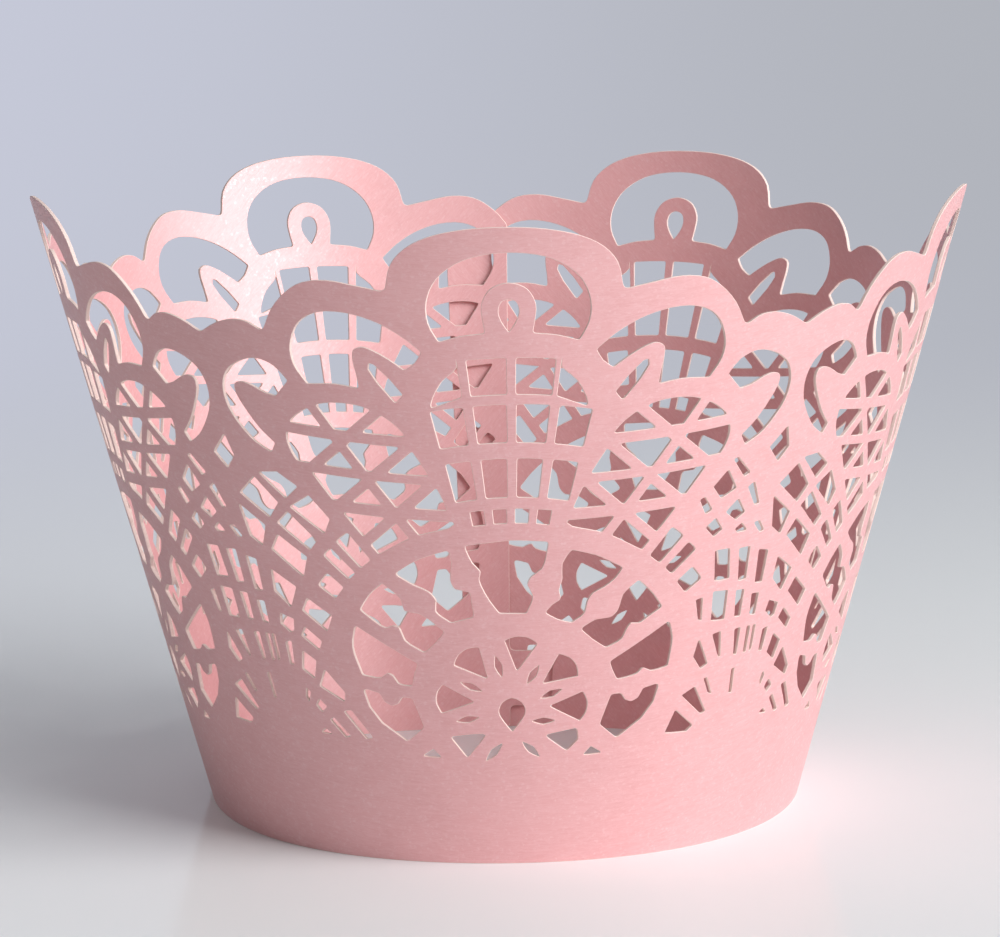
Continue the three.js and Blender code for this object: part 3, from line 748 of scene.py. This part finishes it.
# %% [markdown]
# ## Rolling it up
# A cone's wall lines all pass through one point. On a sphere about that point they trace a
# closed guide, and a step along the flat sheet is the same step along the guide, because
# card doesn't stretch. So each point samples the guide at its own flat bearing. The height
# off the flat table becomes the depth through the wall, and the two ends part where they lap.

# %% The rolling recipe
def rolling_recipe(edge_finish):
    r = Recipe("roll_it_up")
    guide = r.input("Wall Guide", "Object", guide_drawing)
    front = r.input("Guide Front", "Float", float(used[GUIDE_STEPS // 2]))
    drop = r.input("Apex Drop", "Float", APEX_DROP)
    rim = r.input("Rim Radius", "Float", RIM_RADIUS)
    left = r.input("Left End", "Float", inner_end)
    right_end = r.input("Right End", "Float", outer_end)
    lap = r.input("Overlap", "Float", overlap)
    run = r.input("Lap Run", "Float", 9.0 / RIM_RADIUS)
    half = r.input("Half Lap", "Float", (CARD + LAYER_GAP) / 2)
    whole = r.input("Full Round", "Float", full_round)
    slot_from = r.input("Slot Start", "Float", slot_start)
    slot_to = r.input("Slot End", "Float", slot_end)
    forward = r.input("Forward", "Float", -1.351)
    edge_wire = r.input("Cut Edge", "Material", edge_finish)

    place = r.out("GeometryNodeInputPosition", "Position")
    x, y, depth = r.parts(place)
    flat = r.math("ARCTAN2", x, y)
    height = r.math("SQRT", x * x + y * y) - rim

    def spread(bearing):
        return r.smooth_step(bearing, right_end - lap - run, right_end - lap, 0.0, half)

    # The left end moves in and the right end out; the tongue starts inside and comes out.
    inward = r.smooth_step(flat, left + lap, left + lap + run, half, 0.0)
    under = flat + whole
    crossing = r.smooth_step(under, slot_from, slot_to, 1.0, 0.0)
    through = crossing * (spread(under) + half * 3) - half
    tongue = flat < left - 0.00001
    off = tongue * through + (1 - tongue) * (spread(flat) - inward) + depth

    sample = r.node("GeometryNodeSampleCurve", {"mode": "LENGTH"},
                    {"Curves": r.out("GeometryNodeObjectInfo", "Geometry", None, {"Object": guide}),
                     "Length": flat + front})
    line = r.vector("NORMALIZE", Wire(r, sample.outputs["Position"]))
    outward = r.vector("CROSS_PRODUCT", Wire(r, sample.outputs["Tangent"]), line)
    outward = r.vector("NORMALIZE", outward)
    reach = (drop - off * r.parts(outward)[2]) / r.parts(line)[2] + height
    rolled = r.vector("ADD", r.vector("SCALE", line, scale=reach),
                      r.vector("SCALE", outward, scale=off))
    middle = r.out("ShaderNodeCombineXYZ", 0, None, {"Y": forward * -1, "Z": drop * -1})
    metres = r.vector("SCALE", r.vector("ADD", rolled, middle), scale=0.001)

    flat_kept = r.out("GeometryNodeStoreNamedAttribute", "Geometry",
                      {"data_type": "FLOAT_VECTOR", "domain": "POINT"},
                      {"Geometry": Wire(r, r.entry.outputs["Geometry"]),
                       "Name": "flat_place", "Value": place})
    bent = r.out("GeometryNodeSetPosition", "Geometry", None,
                 {"Geometry": flat_kept, "Position": metres})
    solid = r.out("GeometryNodeRealizeInstances", "Geometry", None, {"Geometry": bent})
    slot_number = r.out("GeometryNodeInputMaterialIndex", "Material Index")
    r.finish(r.out("GeometryNodeSetMaterial", "Geometry", None,
                   {"Geometry": solid, "Selection": slot_number > 0.5, "Material": edge_wire}))
    return r


# %% [markdown]
# ## The pearl card
# Pearl card is dyed paper with a mica coating. Close up it shows short pale fibres lying
# along the sheet, tiny bright flakes and a soft clouding, and it shines more like satin
# than like paint. All of it follows the flat sheet, so the pattern reads the place that
# each point had before it was rolled.

# %% Helpers for finishes
def material(name):
    made = bpy.data.materials.new(name)
    made.use_nodes = True
    made.node_tree.nodes.clear()
    return made, Tree(made.node_tree)


def noise(t, place, scale, detail=2.0, roughness=0.5, distortion=0.0):
    return t.out("ShaderNodeTexNoise", "Fac", None, {
        "Vector": place, "Scale": scale, "Detail": detail,
        "Roughness": roughness, "Distortion": distortion})


def blend(t, amount, a, b):
    made = t.node("ShaderNodeMix", {"data_type": "RGBA"}, {0: amount})
    for name, value in (("A", a), ("B", b)):
        socket = [s for s in made.inputs if s.name == name and s.type == "RGBA"][0]
        if isinstance(value, Wire):
            t.group.links.new(value.socket, socket)
        else:
            socket.default_value = (*value, 1)
    return Wire(t, [s for s in made.outputs if s.type == "RGBA"][0])


# %% The finish of the card
def pearl_card():
    made, t = material("pearl_card")
    flat_place = t.out("ShaderNodeAttribute", "Vector", {"attribute_name": "flat_place"})
    stretched = t.vector("MULTIPLY", flat_place, (0.34, 1.9, 1.0))
    clouds = noise(t, flat_place, 0.16, 3.0)
    grain = noise(t, stretched, 2.6, 3.0, 0.6, 1.2)
    wander = noise(t, stretched, 1.5, 2.0, 0.5, 2.4)
    fibres = (1 - t.math("ABSOLUTE", wander - 0.5) * 16)
    fibres = t.math("MAXIMUM", fibres, 0.0) * noise(t, flat_place, 0.9)
    flakes = t.out("ShaderNodeTexVoronoi", "Color", {"feature": "F1"},
                   {"Vector": flat_place, "Scale": 5.5})
    flake = t.parts(flakes)[0]
    sparkle = t.smooth_step(flake, 0.86, 1.0, 0.0, 1.0)

    dye = blend(t, t.smooth_step(clouds, 0.3, 0.7, 0.0, 1.0),
                (0.72, 0.275, 0.275), (0.76, 0.305, 0.305))
    dye = blend(t, t.smooth_step(grain, 0.3, 0.75, 0.0, 0.55), dye, (0.82, 0.39, 0.395))
    dye = blend(t, fibres * 0.35, dye, (0.92, 0.60, 0.61))
    dye = blend(t, sparkle * 0.13, dye, (1.0, 0.84, 0.84))
    height = grain * 0.6 + fibres * 0.5 + flake * 0.25
    bump = t.out("ShaderNodeBump", "Normal", None,
                 {"Strength": 0.35, "Distance": 0.00002, "Height": height})
    shine = t.node("ShaderNodeBsdfPrincipled", None, {
        "Base Color": dye, "Roughness": 0.56 - sparkle * 0.2 - grain * 0.1, "Metallic": 0.1,
        "Normal": bump, "Coat Weight": 0.3, "Coat Roughness": 0.42})
    pearl = t.node("ShaderNodeBsdfPrincipled", None, {
        "Base Color": (1.0, 0.86, 0.88, 1), "Roughness": 0.68, "Metallic": 1.0, "Normal": bump})
    layers = t.node("ShaderNodeMixShader", None, {
        0: 0.19 + grain * 0.1, 1: Wire(t, shine.outputs[0]), 2: Wire(t, pearl.outputs[0])})
    t.node("ShaderNodeOutputMaterial", None, {"Surface": Wire(t, layers.outputs[0])})
    return made


# %% [markdown]
# ## The cut edge
# The dye and the pearl are only skin deep. Where the cutter goes through, the paler core
# shows as a thin cream line that outlines the whole lace, so the edge is a finish of its
# own, duller than the face.

# %% The finish of the cut edge
def cut_edge():
    made, t = material("cut_edge")
    place = t.out("ShaderNodeTexCoord", "Object")
    fuzz = noise(t, place, 5200.0, 2.0)
    tone = blend(t, fuzz, (0.86, 0.62, 0.57), (0.95, 0.79, 0.73))
    bump = t.out("ShaderNodeBump", "Normal", None,
                 {"Strength": 0.4, "Distance": 0.00002, "Height": fuzz})
    core = t.node("ShaderNodeBsdfPrincipled", None,
                  {"Base Color": tone, "Roughness": 0.8, "Normal": bump})
    t.node("ShaderNodeOutputMaterial", None, {"Surface": Wire(t, core.outputs[0])})
    return made


# %% [markdown]
# ## From drawing to wrapper
# The two recipes run on one empty mesh, and between them the sheet gets its thickness and
# a slight ease on every edge. Both are done while the sheet is flat, where a step of one
# thickness is the same everywhere, and the rolling then carries them along.

# %% Cut, thicken, ease the edges and roll
EASE = 0.035
card_finish, edge_finish = pearl_card(), cut_edge()
wrapper = bpy.data.objects.new("lace_wrapper", bpy.data.meshes.new("lace_wrapper"))
bpy.context.scene.collection.objects.link(wrapper)
for finish in (card_finish, edge_finish):
    wrapper.data.materials.append(finish)

cutting_recipe(card_finish).run_on(wrapper, "Cut the lace")
thickness = wrapper.modifiers.new("Card thickness", "SOLIDIFY")
thickness.thickness = CARD
thickness.offset = 0
thickness.material_offset_rim = 1
easing = wrapper.modifiers.new("Eased edges", "BEVEL")
easing.width = EASE
easing.segments = 1
easing.limit_method = "ANGLE"
easing.angle_limit = math.radians(60)
easing.use_clamp_overlap = False
easing.material = 1
rolling_recipe(edge_finish).run_on(wrapper, "Roll it up")

settled = wrapper.evaluated_get(bpy.context.evaluated_depsgraph_get())
final = bpy.data.meshes.new_from_object(settled)
wrapper.modifiers.clear()
wrapper.data = final
final.name = "lace_wrapper"
for helper in (arch_drawing, between_drawing, edge_drawing, guide_drawing):
    bpy.data.objects.remove(helper)
final.shade_smooth()
final.set_sharp_from_angle(angle=math.radians(30))
final.calc_loop_triangles()
print("triangles:", len(final.loop_triangles))
print("finishes:", [finish.name for finish in final.materials])

# %% [markdown]
# Real card has no loose faces and no gaps, so every edge has to join exactly two faces,
# and the volume comes out positive only when the faces look outwards.

# %% One closed sheet, facing out
mesh = bmesh.new()
mesh.from_mesh(final)
open_edges = sum(not edge.is_manifold for edge in mesh.edges)
volume = mesh.calc_volume(signed=True) * 1e9
print("open edges:", open_edges, "volume in cubic mm:", round(volume, 1))
mesh.free()

# %% [markdown]
# ## The table and the room
# A plain pale sweep: the table runs back and curves up into the wall, so no horizon cuts
# the picture. It is a little glossy, which gives the faint reflection under the rim.

# The far part fades into a painted glow of blue-grey, paler on the left and darker grey on the
# right, that only views and reflections show, so the backdrop keeps its tone and sends no light
# onto the card.

# %% Table and backdrop
def sweep(front=-1.2, bend_start=0.55, bend=0.4, top=1.6, half_width=1.6):
    profile = [(front, 0.0), (bend_start, 0.0)]
    profile += [(bend_start + bend * math.sin(a), bend - bend * math.cos(a))
                for a in np.linspace(0.08, math.pi / 2, 22)]
    profile += [(bend_start + bend, top)]
    corners = [(x, y, z) for y, z in profile for x in (-half_width, half_width)]
    faces = [(2 * i, 2 * i + 1, 2 * i + 3, 2 * i + 2) for i in range(len(profile) - 1)]
    made = bpy.data.meshes.new("table_top")
    made.from_pydata(corners, [], faces)
    made.shade_smooth()
    return made


def table_finish():
    made, t = material("table_top")
    x, y, z = t.parts(t.out("ShaderNodeTexCoord", "Object"))
    gloss = t.node("ShaderNodeBsdfPrincipled", None, {
        "Base Color": (0.88, 0.90, 0.91, 1), "Roughness": 0.13, "IOR": 1.18})
    # A painted glow for the backdrop, seen only by views and reflections: paler blue-grey on the
    # left, darker grey on the right.
    backdrop_glow_colour = blend(t, t.smooth_step(x, -0.16, 0.16, 0.0, 1.0),
                 (0.565, 0.585, 0.69), (0.44, 0.455, 0.50))
    glow = t.node("ShaderNodeEmission", None, {"Color": backdrop_glow_colour, "Strength": 1.0})
    rays = t.node("ShaderNodeLightPath")
    kinds = [Wire(t, rays.outputs[kind])
             for kind in ("Is Camera Ray", "Is Glossy Ray", "Is Transmission Ray")]
    seen = t.math("MAXIMUM", t.math("MAXIMUM", kinds[0], kinds[1]), kinds[2])
    far = t.smooth_step(y, 0.02, 0.34, 0.0, 1.0)
    mixed = t.node("ShaderNodeMixShader", None, {
        0: seen * far, 1: Wire(t, gloss.outputs[0]), 2: Wire(t, glow.outputs[0])})
    t.node("ShaderNodeOutputMaterial", None, {"Surface": Wire(t, mixed.outputs[0])})
    return made


table = bpy.data.objects.new("table_top", sweep())
table.data.materials.append(table_finish())
bpy.context.scene.collection.objects.link(table)
print("table faces:", len(table.data.polygons))

# %% [markdown]
# ## The light
# One large soft lamp stands to the right and in front, so the lace grades from pale pink
# on the right to deep rose on the left, and the far left wall, which faces the lamp from
# inside, glows. A weak lamp and the pale room keep the shaded side readable.

# %% Lamps and room light
def lamp(name, azimuth, elevation, distance, size, power):
    light = bpy.data.lights.new(name, "AREA")
    light.shape = "RECTANGLE"
    light.size, light.size_y = size
    light.energy = power
    a, e = math.radians(azimuth), math.radians(elevation)
    place = Vector((math.sin(a) * math.cos(e), -math.cos(a) * math.cos(e), math.sin(e))) * distance
    made = bpy.data.objects.new(name, light)
    aim = LAMP_AIM - place
    facing = aim.to_track_quat("-Z", "Y").to_matrix().to_4x4()
    made.matrix_world = Matrix.Translation(place) @ facing
    bpy.context.scene.collection.objects.link(made)
    return made


LAMP_AIM = Vector((0, 0, 0.025))
lamp("window", 58, 27, 0.9, (0.7, 0.6), 10.4)
lamp("fill", -75, 35, 1.0, (0.6, 0.6), 0.2)
world = bpy.data.worlds.new("room")
bpy.context.scene.world = world
world.use_nodes = True
sky = world.node_tree.nodes["Background"]
sky.inputs["Color"].default_value = (0.96, 0.98, 1.0, 1)
sky.inputs["Strength"].default_value = 0.23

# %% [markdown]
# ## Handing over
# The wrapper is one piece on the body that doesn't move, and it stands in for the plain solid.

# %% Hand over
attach(wrapper, "root")
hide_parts("lace_sheet")
